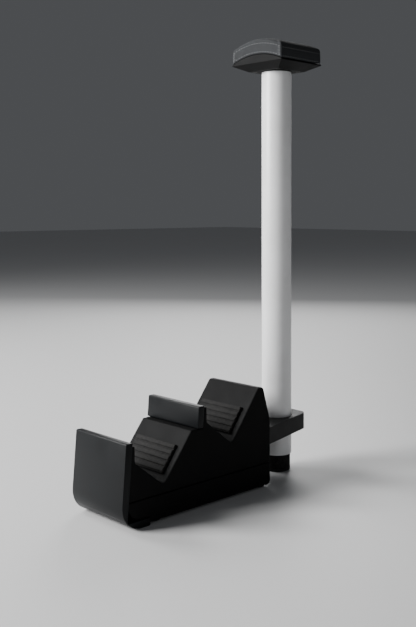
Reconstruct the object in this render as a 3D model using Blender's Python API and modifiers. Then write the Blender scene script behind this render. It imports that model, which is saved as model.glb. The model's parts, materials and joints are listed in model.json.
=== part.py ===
"""Headphone stand with two game-controller cradles: a narrow stepped dock, a tapered arm that
clamps a round pole, and a padded saddle on top. Metres, +Z up, front towards -Y."""

import math

import bmesh
import bpy
from mathutils import Matrix, Vector

# ---- Driving dimensions -------------------------------------------------------------------
GAP = 0.0003                      # clearance between pieces that touch
WALL = 0.0024                     # moulded wall of both dock shells

POLE_Y = 0.072                    # pole axis, measured from the middle of the footprint
POLE_R = 0.011
POLE_WALL = 0.0012
POLE_TOP = 0.2954                 # underside of the saddle bracket
POLE_BOTTOM = 0.012
FOOT_R = 0.010

BODY_HALF = 0.0245                # half width of the dock body
BODY_REAR = 0.038
BODY_FLOOR = 0.0015               # underside of the lower shell, above the table
SPLIT_Z = 0.0166                  # parting line between the shells
CREST_Z = 0.0699                  # top of the rear backrest

COVER_HALF = 0.0255               # the lip covers stand a little wider than the body
COVER_THICK = 0.005
COVER_LEAN = math.radians(4.5)
COVER_TOP = (-0.0909, 0.0528)     # front upper edge of the front cover, (y, z)
COVER_SCOOP_R = 0.015             # radius where the front cover turns under
COVER_TOE_Y = -0.072              # where its tucked-under toe ends
COVER_TOE_THICK = 0.0046
REAR_COVER_TOP = (-0.031, 0.066)
LEDGE_Z = 0.0515                  # step that the rear cover stands on

CRADLE_LEAN = math.radians(38)    # backrest angle from the vertical
FRONT_VEE = (-0.060, 0.0219)      # bottom corner of the front cradle, (y, z)
CRADLE_STEP = (0.060, 0.0147)     # the rear cradle stands this much further back and up
CRADLE_FLOOR = 0.0294             # length of the sloping floor

ARM_BOTTOM = 0.0287
ARM_TOP = 0.0404
ARM_REAR = 0.0938
ARM_HALF_AT_POLE = 0.0156
ARM_TAPER = math.tan(math.radians(13.5))
ARM_TONGUE_HALF = 0.0155
ARM_TONGUE_FRONT = 0.012
ARM_SCREWS = ((-0.009, 0.022), (0.009, 0.022))
POLE_BORE_R = POLE_R + GAP

BRACKET_FOOT_HALF = 0.0145        # square underside of the saddle bracket
BRACKET_SHOULDER = 0.2998         # where its flared sides turn upright
SADDLE_HALF_X = 0.0245
SADDLE_HALF_Y = 0.0223
SADDLE_ARCH_R = 0.0593
SADDLE_APEX = 0.3059              # top of the bracket's arch
SADDLE_BOARD_THICK = 0.0018
SADDLE_BOARD_INSET = 0.0035
BRACKET_TRIM = 0.00002            # keeps the two bracket outlines from sharing a plane
PAD_EDGE_R = 0.0016
PAD_SCREW_SEAT = 0.2970
PAD_THICK = 0.0113
PAD_SCREW_OFFSET = 0.0112

BASE_SCREWS = ((-0.0194, -0.050), (0.0194, -0.050), (-0.0194, 0.022), (0.0194, 0.022))
RUBBER_FEET = ((-0.018, -0.064), (0.018, -0.064), (-0.018, 0.0315), (0.018, 0.0315))
POST_R = 0.0034
POST_TOP = 0.026

RUBBER_PAD_SPAN = (0.006, 0.026)  # along the backrest from the vee
RUBBER_PAD_HALF = 0.019
RUBBER_PAD_RIBS = 5
RUBBER_PAD_RIB = 0.0019           # height of a rib above the backrest
RUBBER_PAD_VALLEY = 0.0012

CONTACT_Y = -0.011                # contact block's middle, along the cradle floor from the vee
CONTACT_SIZE = (0.016, 0.008)
CONTACT_PROUD = 0.003
CONTACT_FLANGE = (0.022, 0.011)
CARRIER_TOP = -0.0114             # below the cradle floor, square to it
CONTACT_TRAVEL = 0.0015
SPRING_X = 0.0075
PIN_X = 0.0030

# ---- Fresh scene and collections ----------------------------------------------------------
for old in list(bpy.data.objects):
    bpy.data.objects.remove(old, do_unlink=True)

STAND = bpy.data.collections.new("headphone_stand")
CUTTERS = bpy.data.collections.new("cutters")
for collection in (STAND, CUTTERS):
    bpy.context.scene.collection.children.link(collection)

# ---- Materials ----------------------------------------------------------------------------
FINISHES = {
    "white_powder_coat": ((0.86, 0.86, 0.85), 0.38, 0.0),
    "black_moulding": ((0.012, 0.012, 0.013), 0.55, 0.0),
    "charcoal_satin": ((0.035, 0.036, 0.040), 0.42, 0.0),
    "black_casting": ((0.014, 0.014, 0.015), 0.50, 0.3),
    "black_rubber": ((0.010, 0.010, 0.010), 0.85, 0.0),
    "grey_fabric": ((0.095, 0.105, 0.110), 0.90, 0.0),
    "zinc_steel": ((0.45, 0.45, 0.46), 0.35, 1.0),
    "black_screw": ((0.03, 0.03, 0.03), 0.40, 0.9),
    "gold_contact": ((0.80, 0.58, 0.22), 0.25, 1.0),
    "green_board": ((0.015, 0.11, 0.045), 0.45, 0.0),
    "ribbon": ((0.55, 0.33, 0.10), 0.45, 0.0),
}


def finish(name):
    """The named finish as a Principled material, made once."""
    found = bpy.data.materials.get(name)
    if found:
        return found
    colour, roughness, metallic = FINISHES[name]
    made = bpy.data.materials.new(name)
    made.use_nodes = True
    shader = made.node_tree.nodes["Principled BSDF"]
    shader.inputs["Base Color"].default_value = (*colour, 1.0)
    shader.inputs["Roughness"].default_value = roughness
    shader.inputs["Metallic"].default_value = metallic
    return made


# ---- Outlines -----------------------------------------------------------------------------
def fillet(corners, steps=4):
    """Turn (u, v, radius) corners into points, with an arc tangent to both edges at each radius."""
    points = []
    count = len(corners)
    for index, (u, v, radius) in enumerate(corners):
        here = Vector((u, v))
        if radius == 0:
            points.append(here)
            continue
        before = (Vector(corners[index - 1][:2]) - here).normalized()
        after = (Vector(corners[(index + 1) % count][:2]) - here).normalized()
        half = before.angle(after) / 2
        centre = here + (before + after).normalized() * (radius / math.sin(half))
        start = here + before * (radius / math.tan(half)) - centre
        end = here + after * (radius / math.tan(half)) - centre
        sweep = start.angle(end)
        turn = math.copysign(1.0, start.x * end.y - start.y * end.x)
        for step in range(steps + 1):
            points.append(centre + Matrix.Rotation(turn * sweep * step / steps, 2) @ start)
    return points


def inset(corners, distance):
    """Move every edge of a counter-clockwise outline inwards by a distance."""
    moved = []
    count = len(corners)
    for index in range(count):
        here = Vector(corners[index][:2])
        into = (here - Vector(corners[index - 1][:2])).normalized()
        out = (Vector(corners[(index + 1) % count][:2]) - here).normalized()
        normal_in = Vector((-into.y, into.x))
        normal_out = Vector((-out.y, out.x))
        mitre = (normal_in + normal_out).normalized()
        moved.append((*(here + mitre * (distance / mitre.dot(normal_in))), 0))
    return moved


def arch(radius, centre_z, half_width, steps=12):
    """Points along the top of a circle, from +half_width to -half_width."""
    reach = math.asin(half_width / radius)
    angles = [reach - 2 * reach * step / steps for step in range(steps + 1)]
    return [Vector((radius * math.sin(a), centre_z + radius * math.cos(a))) for a in angles]


# ---- Solids -------------------------------------------------------------------------------
PLAN = Matrix.Identity(4)
FRONT_VIEW = Matrix.Rotation(math.radians(90), 4, "X")
SIDE_VIEW = Matrix(((0, 0, 1, 0), (1, 0, 0, 0), (0, 1, 0, 0), (0, 0, 0, 1)))


def add(name, mesh, material=None, parent=None):
    """Link a mesh as a named object: a part if it has a material, and a cutter if it has none."""
    part = bpy.data.objects.new(name, mesh)
    part.parent = parent
    if material:
        STAND.objects.link(part)
        mesh.materials.clear()
        mesh.materials.append(finish(material))
        return part
    CUTTERS.objects.link(part)
    part.hide_render = True
    part.display_type = "WIRE"
    return part


def evaluated_mesh(temporary, weld=1e-6):
    """The evaluated mesh of a temporary object, with loose caps welded; the object is removed."""
    STAND.objects.link(temporary)
    bpy.context.view_layer.update()
    ready = temporary.evaluated_get(bpy.context.evaluated_depsgraph_get())
    mesh = bpy.data.meshes.new_from_object(ready)
    bpy.data.objects.remove(temporary, do_unlink=True)
    work = bmesh.new()
    work.from_mesh(mesh)
    bmesh.ops.remove_doubles(work, verts=work.verts, dist=weld)
    bmesh.ops.dissolve_limit(work, angle_limit=0.001, verts=work.verts, edges=work.edges)
    work.to_mesh(mesh)
    work.free()
    return mesh


def extruded(name, points, thickness, view, material=None, middle=0.0, parent=None):
    """A flat outline given thickness: a filled 2D curve, extruded and turned into the view."""
    curve = bpy.data.curves.new(name, "CURVE")
    curve.dimensions = "2D"
    curve.fill_mode = "BOTH"
    curve.extrude = thickness / 2
    spline = curve.splines.new("POLY")
    spline.points.add(len(points) - 1)
    for knot, point in zip(spline.points, points):
        knot.co = (point[0], point[1], 0, 1)
    spline.use_cyclic_u = True
    mesh = evaluated_mesh(bpy.data.objects.new(name, curve))
    mesh.transform(view @ Matrix.Translation((0, 0, middle)))
    return add(name, mesh, material, parent)


def block(name, size, centre, material=None, parent=None):
    """A box of a given size."""
    work = bmesh.new()
    place = Matrix.Translation(centre) @ Matrix.Diagonal((*size, 1))
    bmesh.ops.create_cube(work, size=1, matrix=place)
    mesh = bpy.data.meshes.new(name)
    work.to_mesh(mesh)
    work.free()
    return add(name, mesh, material, parent)


def drill(name, centres, radius, low, high, material=None, sides=20, parent=None):
    """Upright cylinders at (x, y) centres, as separate solids in one object."""
    work = bmesh.new()
    for x, y in centres:
        place = Matrix.Translation((x, y, (low + high) / 2))
        bmesh.ops.create_cone(
            work, cap_ends=True, segments=sides, radius1=radius, radius2=radius,
            depth=high - low, matrix=place)
    mesh = bpy.data.meshes.new(name)
    work.to_mesh(mesh)
    work.free()
    return add(name, mesh, material, parent)


def turned(name, profile, material, places=(Matrix.Identity(4),), sides=24, closed=False):
    """A profile of (radius, z) points turned about Z by a Screw modifier, one object a place."""
    outline = bpy.data.meshes.new(name)
    edges = [(step, step + 1) for step in range(len(profile) - 1)]
    if closed:
        edges.append((len(profile) - 1, 0))
    outline.from_pydata([(radius, 0, z) for radius, z in profile], edges, [])
    lathe = bpy.data.objects.new(name, outline)
    screw = lathe.modifiers.new("turn", "SCREW")
    screw.steps = screw.render_steps = sides
    screw.use_merge_vertices = True
    screw.merge_threshold = 0.00001
    mesh = evaluated_mesh(lathe)
    mesh.shade_smooth()
    mesh.set_sharp_from_angle(angle=math.radians(35))
    for number, place in enumerate(places, 1):
        label = name if len(places) == 1 else f"{name}_{number}"
        add(label, mesh, material).matrix_world = place


def combine(part, other, operation="DIFFERENCE"):
    """Add a live Boolean with another object."""
    change = part.modifiers.new(other.name, "BOOLEAN")
    change.operation = operation
    change.object = other
    return part


def soften(part, width, segments=2):
    """Round the edges between faces that meet at more than 50 degrees."""
    bevel = part.modifiers.new("soften", "BEVEL")
    bevel.width = width
    bevel.segments = segments
    bevel.limit_method = "ANGLE"
    bevel.angle_limit = math.radians(50)
    return part


def screw_profile(head_r, head_low, head_high, shank_r, tip_z):
    """A pan-head screw pointing down from head_low to tip_z, as a (radius, z) profile."""
    return [
        (0, head_high),
        (head_r * 0.8, head_high),
        (head_r, head_high - (head_high - head_low) * 0.4),
        (head_r, head_low),
        (shank_r, head_low),
        (shank_r, tip_z + shank_r),
        (0, tip_z),
    ]


# ---- Dock shells --------------------------------------------------------------------------
def lean_y(top, z):
    """Where the leaning line through a (y, z) top point stands at height z."""
    return top[0] - (top[1] - z) * math.tan(COVER_LEAN)


def body_front(z):
    """The dock body's front face, just behind the front cover."""
    return lean_y(COVER_TOP, z) + COVER_THICK + GAP


def rear_lip_front(z):
    """The rear lip's front face, just behind the rear cover."""
    return lean_y(REAR_COVER_TOP, z) + COVER_THICK + GAP


REAR_VEE = (FRONT_VEE[0] + CRADLE_STEP[0], FRONT_VEE[1] + CRADLE_STEP[1])


def on_backrest(vee, z):
    """The (y, z) point of a backrest at height z."""
    return (vee[0] + (z - vee[1]) * math.tan(CRADLE_LEAN), z)


def floor_end(vee, length=CRADLE_FLOOR):
    """The (y, z) point of a sloping cradle floor at a length from its vee."""
    return (vee[0] - length * math.cos(CRADLE_LEAN), vee[1] + length * math.sin(CRADLE_LEAN))


def upper_outline(lip_height=0.010):
    """Side outline of the upper shell, with both lips."""
    front_floor = floor_end(FRONT_VEE)
    rear_floor = floor_end(REAR_VEE)
    front_lip_z = front_floor[1] + lip_height
    rear_lip_z = rear_floor[1] + lip_height
    low = SPLIT_Z + GAP / 2
    crest_front = on_backrest(REAR_VEE, CREST_Z)
    return [
        (body_front(low), low, 0),
        (BODY_REAR, low, 0),
        (BODY_REAR, 0.046, 0.006),
        (crest_front[0] + 0.005, CREST_Z, 0.0025),
        (*crest_front, 0.002),
        (*REAR_VEE, 0.0025),
        (*rear_floor, 0.0015),
        (rear_floor[0], rear_lip_z, 0.0008),
        (rear_lip_front(rear_lip_z), rear_lip_z, 0.0008),
        (rear_lip_front(LEDGE_Z), LEDGE_Z, 0),
        (*on_backrest(FRONT_VEE, LEDGE_Z), 0.0012),
        (*FRONT_VEE, 0.0025),
        (*front_floor, 0.0015),
        (front_floor[0], front_lip_z, 0.0008),
        (body_front(front_lip_z), front_lip_z, 0.0008),
    ]


def cavity_outline():
    """Side outline of the hollow in the upper shell, which leaves the lips solid."""
    low = SPLIT_Z - 0.006
    crest_front = on_backrest(REAR_VEE, CREST_Z)
    reach = (LEDGE_Z - REAR_VEE[1]) / math.sin(CRADLE_LEAN)
    front_reach = 0.026
    front_end = floor_end(FRONT_VEE, front_reach)
    core = [
        (body_front(low), low),
        (BODY_REAR, low),
        (BODY_REAR, 0.046),
        (crest_front[0] + 0.005, CREST_Z),
        crest_front,
        REAR_VEE,
        floor_end(REAR_VEE, reach),
        on_backrest(FRONT_VEE, LEDGE_Z),
        FRONT_VEE,
        front_end,
        (body_front(front_end[1]), front_end[1]),
    ]
    return inset(core, WALL)


def cradle_frame(name, vee):
    """An empty in a cradle's vee: its Z runs up the backrest and its -Y up the floor."""
    empty = bpy.data.objects.new(name, None)
    STAND.objects.link(empty)
    empty.location = (0, *vee)
    empty.rotation_euler = (-CRADLE_LEAN, 0, 0)
    return empty


def upper_shell(cradles):
    """The stepped body that carries both cradles, hollow and open below."""
    shell = extruded(
        "base_upper_shell", fillet(upper_outline()), 2 * BODY_HALF, SIDE_VIEW, "black_moulding")
    soften(shell, 0.0008)
    cavity = extruded("cavity", fillet(cavity_outline()), 2 * (BODY_HALF - WALL), SIDE_VIEW)
    posts = drill("posts", BASE_SCREWS, POST_R, 0.0, POST_TOP)
    arm_posts = drill("arm_posts", ARM_SCREWS, POST_R, ARM_TOP + 2 * GAP, 0.1)
    combine(cavity, posts)
    combine(cavity, arm_posts)
    combine(shell, cavity)
    combine(shell, drill("post_bores", BASE_SCREWS, 0.0015, 0.005, POST_TOP - 0.001, sides=12))
    combine(shell, drill("arm_bores", ARM_SCREWS, 0.0018, 0.035, 0.054, sides=12))
    arm_height = ARM_TOP - ARM_BOTTOM + 2 * GAP
    slot_size = (2 * (ARM_TONGUE_HALF + GAP), 0.016, arm_height)
    slot_middle = (0, BODY_REAR, (ARM_TOP + ARM_BOTTOM) / 2)
    combine(shell, block("arm_slot", slot_size, slot_middle))
    for number, cradle in enumerate(cradles):
        clear = 2 * GAP
        size = (CONTACT_SIZE[0] + clear, CONTACT_SIZE[1] + clear, 0.012)
        hole = block(f"contact_hole_{number}", size, (0, CONTACT_Y, 0), parent=cradle)
        combine(shell, hole)
    return shell


def lower_outline():
    """Side outline of the lower shell, which steps over the front cover's toe."""
    high = SPLIT_Z - GAP / 2
    toe = COVER_TOE_THICK + GAP
    return [
        (COVER_TOE_Y + GAP, BODY_FLOOR, 0.0006),
        (BODY_REAR, BODY_FLOOR, 0.003),
        (BODY_REAR, high, 0),
        (body_front(high), high, 0),
        (body_front(toe), toe, COVER_SCOOP_R - COVER_THICK - 0.0002),
        (COVER_TOE_Y + GAP, toe, 0),
    ]


def lower_shell():
    """The tray under the dock, with screw posts, foot recesses and the inlet's notch."""
    tray = extruded(
        "base_lower_shell", fillet(lower_outline()), 2 * BODY_HALF, SIDE_VIEW, "black_moulding")
    soften(tray, 0.0006)
    hollow = [
        (COVER_TOE_Y + WALL, BODY_FLOOR + WALL, 0),
        (BODY_REAR - WALL, BODY_FLOOR + WALL, 0.0015),
        (BODY_REAR - WALL, 0.020, 0),
        (-0.0845, 0.020, 0),
        (-0.0845, 0.0115, 0.003),
        (COVER_TOE_Y + WALL, 0.0075, 0.002),
    ]
    cavity = extruded("tray_hollow", fillet(hollow), 2 * (BODY_HALF - WALL), SIDE_VIEW)
    combine(cavity, drill("tray_posts", BASE_SCREWS, POST_R, 0.0, 0.030))
    combine(tray, cavity)
    combine(tray, drill("tray_bores", BASE_SCREWS, 0.0016, 0.0, 0.030, sides=12))
    combine(tray, drill("head_recesses", BASE_SCREWS, 0.0030, 0.0, 0.0040, sides=16))
    combine(tray, drill("foot_recesses", RUBBER_FEET, 0.0049, 0.0, 0.0026))
    combine(tray, block("inlet_notch", (0.0098, 0.010, 0.010), (0, BODY_REAR, 0.0178)))
    return tray


def front_cover():
    """The front lip cover: a leaning face that scoops under to the table."""
    foot_y = lean_y(COVER_TOP, 0)
    toe = COVER_TOE_THICK
    outline = [
        (*COVER_TOP, 0.0008),
        (foot_y, 0, COVER_SCOOP_R),
        (COVER_TOE_Y, 0, 0.0006),
        (COVER_TOE_Y, toe, 0.0006),
        (lean_y(COVER_TOP, toe) + COVER_THICK, toe, COVER_SCOOP_R - COVER_THICK),
        (COVER_TOP[0] + COVER_THICK, COVER_TOP[1], 0.0008),
    ]
    cover = extruded(
        "front_lip_cover", fillet(outline, 6), 2 * COVER_HALF, SIDE_VIEW, "charcoal_satin")
    return soften(cover, 0.0007)


def rear_cover():
    """The rear lip cover: a leaning plate on the ledge between the cradles."""
    low = LEDGE_Z + GAP
    outline = [
        (*REAR_COVER_TOP, 0.0012),
        (lean_y(REAR_COVER_TOP, low), low, 0.0008),
        (lean_y(REAR_COVER_TOP, low) + COVER_THICK, low, 0.0004),
        (REAR_COVER_TOP[0] + COVER_THICK, REAR_COVER_TOP[1], 0.0008),
    ]
    cover = extruded(
        "rear_lip_cover", fillet(outline), 2 * COVER_HALF, SIDE_VIEW, "charcoal_satin")
    return soften(cover, 0.0007)


# ---- Cradle fittings ----------------------------------------------------------------------
def coil(name, low, high, radius=0.0021, wire_r=0.0003, turns=3.5, per_turn=8):
    """A helical spring about Z between two heights, at the length it has when pressed."""
    wire = bpy.data.curves.new(name, "CURVE")
    wire.dimensions = "3D"
    wire.bevel_depth = wire_r
    wire.bevel_resolution = 1
    wire.use_fill_caps = True
    helix = wire.splines.new("POLY")
    steps = int(turns * per_turn)
    helix.points.add(steps)
    rise = (high - low - 2 * wire_r) / steps
    for step, knot in enumerate(helix.points):
        angle = 2 * math.pi * step / per_turn
        height = low + wire_r + rise * step
        knot.co = (radius * math.cos(angle), radius * math.sin(angle), height, 1)
    wire.materials.append(finish("zinc_steel"))
    spring = bpy.data.objects.new(name, wire)
    STAND.objects.link(spring)
    return spring


def sprung_contact(label, cradle):
    """A sliding contact block with its pins and springs, and the fixed carrier under them."""
    long, wide = CONTACT_SIZE
    top = CONTACT_PROUD
    under_wall = -WALL - GAP
    flange_low = under_wall - 0.0016
    block_height = top - under_wall + 0.0004
    body = block(
        f"contact_block_{label}", (long, wide, block_height),
        (0, CONTACT_Y, top - block_height / 2), "black_moulding", cradle)
    flange = block(
        f"contact_flange_{label}", (*CONTACT_FLANGE, 0.0016),
        (0, CONTACT_Y, flange_low + 0.0008), parent=cradle)
    combine(body, flange, "UNION")
    pin_row = [(-PIN_X, CONTACT_Y), (PIN_X, CONTACT_Y)]
    combine(body, drill(f"pin_holes_{label}", pin_row, 0.0011, -0.02, 0.02, sides=10, parent=cradle))
    for number, spot in enumerate(pin_row, 1):
        drill(
            f"contact_pin_{label}_{number}", [spot], 0.0008, flange_low - 0.0008, top + 0.0012,
            "gold_contact", sides=12, parent=cradle)
    for number, x in enumerate((-SPRING_X, SPRING_X), 1):
        low = CARRIER_TOP + CONTACT_TRAVEL + GAP
        spring = coil(f"contact_spring_{label}_{number}", low, flange_low - GAP)
        spring.parent = cradle
        spring.location = (x, CONTACT_Y, 0)
    carrier = block(
        f"contact_carrier_{label}", (2 * (BODY_HALF - WALL - GAP), 0.0115, 0.002),
        (0, CONTACT_Y, CARRIER_TOP - 0.001), "green_board", cradle)
    soften(carrier, 0.0003, 1)


def cradle_pad(label, cradle):
    """A ribbed rubber pad glued to the backrest, drawn in the cradle's own frame."""
    start, end = RUBBER_PAD_SPAN
    pitch = (end - start) / RUBBER_PAD_RIBS
    outline = [(0, start), (0, end)]
    for rib in reversed(range(RUBBER_PAD_RIBS)):
        foot = start + rib * pitch
        outline += [
            (-RUBBER_PAD_RIB, foot + pitch * 0.85),
            (-RUBBER_PAD_RIB, foot + pitch * 0.25),
            (-RUBBER_PAD_VALLEY, foot + pitch * 0.10),
            (-RUBBER_PAD_VALLEY, foot),
        ]
    pad = extruded(
        f"cradle_pad_{label}", outline, 2 * RUBBER_PAD_HALF, SIDE_VIEW, "black_rubber",
        parent=cradle)
    pad.location = (0, -GAP, 0)
    return pad


# ---- Inside the dock ----------------------------------------------------------------------
def dock_interior():
    """Ballast, circuit board, power inlet and the ribbons up to the two contact carriers."""
    ballast = block("ballast_plate", (0.043, 0.060, 0.005), (0, -0.0145, 0.0067), "zinc_steel")
    soften(ballast, 0.0006, 1)
    board = block("circuit_board", (0.026, 0.0500, 0.0016), (0, 0.0050, 0.0119), "green_board")
    soften(board, 0.0003, 1)
    mouth = [(x, z, 0.0014) for x, z in (
        (-0.0045, 0.0131), (0.0045, 0.0131), (0.0045, 0.0162), (-0.0045, 0.0162))]
    inner = [(x * 0.93, 0.01465 + (z - 0.01465) * 0.80, 0.0010) for x, z, _ in mouth]
    inlet = extruded(
        "usb_inlet", fillet(mouth), 0.0078, FRONT_VIEW, "zinc_steel", middle=-0.0338)
    socket = extruded("inlet_mouth", fillet(inner), 0.0130, FRONT_VIEW, middle=-0.0384)
    combine(inlet, socket)
    tongue = block("usb_tongue", (0.0062, 0.0050, 0.0007), (0, 0.0349, 0.01465), "black_moulding")
    soften(tongue, 0.0002, 1)


def contact_ribbon(label, vee, board_y):
    """A flat ribbon from the board's upper face to the underside of a contact carrier."""
    half_thick = 0.00025
    slide = Vector((math.sin(CRADLE_LEAN), math.cos(CRADLE_LEAN)))
    down_floor = Vector((math.cos(CRADLE_LEAN), -math.sin(CRADLE_LEAN)))
    under = CARRIER_TOP - 0.002 - GAP - half_thick
    meet = Vector(vee) + down_floor * (CONTACT_Y + 0.0068) + slide * under
    board_top = 0.0127 + GAP + half_thick
    route = [
        meet - down_floor * 0.009,
        meet,
        Vector((meet.x + (board_y - meet.x) * 0.45, board_top + (meet.y - board_top) * 0.25)),
        Vector((board_y, board_top)),
        Vector((board_y + 0.006, board_top)),
    ]
    left = []
    right = []
    for index, here in enumerate(route):
        ahead = route[min(index + 1, len(route) - 1)]
        behind = route[max(index - 1, 0)]
        along = (ahead - behind).normalized()
        across = Vector((-along.y, along.x)) * half_thick
        left.append(here + across)
        right.append(here - across)
    extruded(f"contact_ribbon_{label}", right + left[::-1], 0.007, SIDE_VIEW, "ribbon")


# ---- Arm, pole and saddle -----------------------------------------------------------------
def arm_half(y):
    """Half width of the tapered arm at y."""
    return ARM_HALF_AT_POLE - (y - POLE_Y) * ARM_TAPER


def tail_arm():
    """The cast arm: a tongue inside the dock, a tapered plan and a bore that grips the pole."""
    root = BODY_REAR + GAP
    half_root = arm_half(root)
    half_end = arm_half(ARM_REAR)
    outline = [
        (-half_root, root, 0),
        (half_root, root, 0),
        (half_end, ARM_REAR, 0.0065),
        (-half_end, ARM_REAR, 0.0065),
    ]
    middle = (ARM_TOP + ARM_BOTTOM) / 2
    height = ARM_TOP - ARM_BOTTOM
    arm = extruded("tail_arm", fillet(outline, 5), height, PLAN, "black_casting", middle)
    tongue_length = root - ARM_TONGUE_FRONT + 0.004
    tongue = block(
        "arm_tongue", (2 * ARM_TONGUE_HALF, tongue_length, height - 0.0004),
        (0, ARM_TONGUE_FRONT + tongue_length / 2, middle))
    combine(arm, tongue, "UNION")
    combine(arm, drill("pole_bore", [(0, POLE_Y)], POLE_BORE_R, 0.0, 0.1, sides=48))
    combine(arm, drill("arm_screw_holes", ARM_SCREWS, 0.0022, 0.0, 0.1, sides=16))
    clamp_hole = drill("clamp_hole", [(0, 0)], 0.0022, -0.012, 0.012, sides=16)
    clamp_hole.location = (0, 0.090, middle)
    clamp_hole.rotation_euler = (math.radians(90), 0, 0)
    combine(arm, clamp_hole)
    soften(arm, 0.0006)
    arm_screw = screw_profile(0.0034, 0.0, 0.0022, 0.0015, -0.0235)
    flip = Matrix.Rotation(math.pi, 4, "X")
    places = [Matrix.Translation((x, y, ARM_BOTTOM - GAP)) @ flip for x, y in ARM_SCREWS]
    turned("arm_screw", arm_screw, "zinc_steel", places, sides=14)
    set_screw = drill(
        "pole_set_screw", [(0, 0)], 0.0018, POLE_R + GAP, 0.0210, "black_screw", sides=16)
    combine(set_screw, drill("hex_socket", [(0, 0)], 0.0010, 0.0190, 0.0300, sides=6))
    turn = Matrix.Rotation(math.radians(-90), 4, "X")
    for piece in (set_screw, bpy.data.objects["hex_socket"]):
        piece.matrix_world = Matrix.Translation((0, POLE_Y, middle)) @ turn


def pole():
    """The pole tube, its rubber foot and the metal spigot in its top."""
    on_axis = [Matrix.Translation((0, POLE_Y, 0))]
    inner = POLE_R - POLE_WALL
    chamfer = 0.0003
    tube = [
        (POLE_R - chamfer, POLE_TOP - GAP),
        (POLE_R, POLE_TOP - GAP - chamfer),
        (POLE_R, POLE_BOTTOM + GAP + chamfer),
        (POLE_R - chamfer, POLE_BOTTOM + GAP),
        (inner, POLE_BOTTOM + GAP),
        (inner, POLE_TOP - GAP),
    ]
    turned("pole_tube", tube, "white_powder_coat", on_axis, sides=56, closed=True)
    plug = inner - GAP
    foot = [
        (0, POLE_BOTTOM + 0.014),
        (plug, POLE_BOTTOM + 0.014),
        (plug, POLE_BOTTOM),
        (FOOT_R, POLE_BOTTOM),
        (FOOT_R, 0.0008),
        (FOOT_R - 0.0008, 0),
        (0, 0),
    ]
    turned("pole_foot", foot, "black_rubber", on_axis, sides=32)
    bore = 0.0024
    spigot = [
        (bore, POLE_TOP - GAP),
        (plug, POLE_TOP - GAP),
        (plug, 0.268),
        (0, 0.268),
        (0, 0.274),
        (bore, 0.274),
    ]
    turned("saddle_spigot", spigot, "zinc_steel", on_axis, sides=24, closed=True)
    bolt = screw_profile(0.0044, 0.2992, 0.3022, 0.0020, 0.2765)
    turned("saddle_bolt", bolt, "zinc_steel", on_axis, sides=20)


def saddle():
    """The flared bracket, the arched board screwed to it and the sewn pad over the board."""
    arch_centre = SADDLE_APEX - SADDLE_ARCH_R
    foot = BRACKET_FOOT_HALF
    front = [
        (-foot, POLE_TOP),
        (foot, POLE_TOP),
        (SADDLE_HALF_X, BRACKET_SHOULDER),
        *arch(SADDLE_ARCH_R, arch_centre, SADDLE_HALF_X),
        (-SADDLE_HALF_X, BRACKET_SHOULDER),
    ]
    side = [
        (POLE_Y - foot, POLE_TOP - BRACKET_TRIM),
        (POLE_Y + foot, POLE_TOP - BRACKET_TRIM),
        (POLE_Y + SADDLE_HALF_Y, BRACKET_SHOULDER),
        (POLE_Y + SADDLE_HALF_Y, SADDLE_APEX + 0.002),
        (POLE_Y - SADDLE_HALF_Y, SADDLE_APEX + 0.002),
        (POLE_Y - SADDLE_HALF_Y, BRACKET_SHOULDER),
    ]
    bracket = extruded("saddle_bracket", front, 0.060, FRONT_VIEW, "black_moulding", -POLE_Y)
    combine(bracket, extruded("bracket_side", side, 0.060, SIDE_VIEW), "INTERSECT")
    combine(bracket, drill("bolt_hole", [(0, POLE_Y)], 0.0024, 0.28, 0.32, sides=16))
    combine(bracket, drill("bolt_recess", [(0, POLE_Y)], 0.0050, 0.2989, 0.32))
    soften(bracket, 0.0004, 1)

    offsets = [(x, y) for x in (-1, 1) for y in (-1, 1)]
    spots = [(x * PAD_SCREW_OFFSET, POLE_Y + y * PAD_SCREW_OFFSET) for x, y in offsets]
    combine(bracket, drill("pad_screw_holes", spots, 0.0014, 0.28, 0.32, sides=12))
    combine(bracket, drill("pad_screw_recesses", spots, 0.0023, 0.28, PAD_SCREW_SEAT, sides=16))

    board_r = SADDLE_ARCH_R + GAP
    board_half = SADDLE_HALF_X - SADDLE_BOARD_INSET
    board_depth = 2 * (SADDLE_HALF_Y - SADDLE_BOARD_INSET)
    outer = arch(board_r + SADDLE_BOARD_THICK, arch_centre, board_half)
    inner = arch(board_r, arch_centre, board_half)
    board = extruded(
        "saddle_board", outer + inner[::-1], board_depth, FRONT_VIEW, "black_moulding", -POLE_Y)
    combine(board, drill("board_pilots", spots, 0.0014, 0.28, 0.32, sides=12))
    screw = screw_profile(0.0020, 0.0, 0.0013, 0.0011, -0.0090)
    flip = Matrix.Rotation(math.pi, 4, "X")
    places = [Matrix.Translation((x, y, PAD_SCREW_SEAT - GAP)) @ flip for x, y in spots]
    turned("saddle_pad_screw", screw, "black_screw", places, sides=12)

    cushion_low = arch(board_r, arch_centre, SADDLE_HALF_X)
    cushion_top = arch(SADDLE_ARCH_R, arch_centre + PAD_THICK, SADDLE_HALF_X)
    pad = extruded(
        "saddle_pad", cushion_top + cushion_low[::-1], 2 * SADDLE_HALF_Y, FRONT_VIEW,
        "grey_fabric", -POLE_Y)
    soften(pad, PAD_EDGE_R)
    pocket_top = arch(board_r + SADDLE_BOARD_THICK + GAP, arch_centre, board_half + GAP)
    pocket_low = arch(board_r - 0.004, arch_centre, board_half + GAP)
    pocket = extruded(
        "board_pocket", pocket_top + pocket_low[::-1], board_depth + 2 * GAP, FRONT_VIEW,
        middle=-POLE_Y)
    combine(pad, pocket)
    combine(pad, drill("screw_tip_room", spots, 0.0014, 0.28, 0.3085, sides=12))
    combine(pad, drill("bolt_room", [(0, POLE_Y)], 0.0050, 0.28, 0.3075, sides=16))


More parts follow.
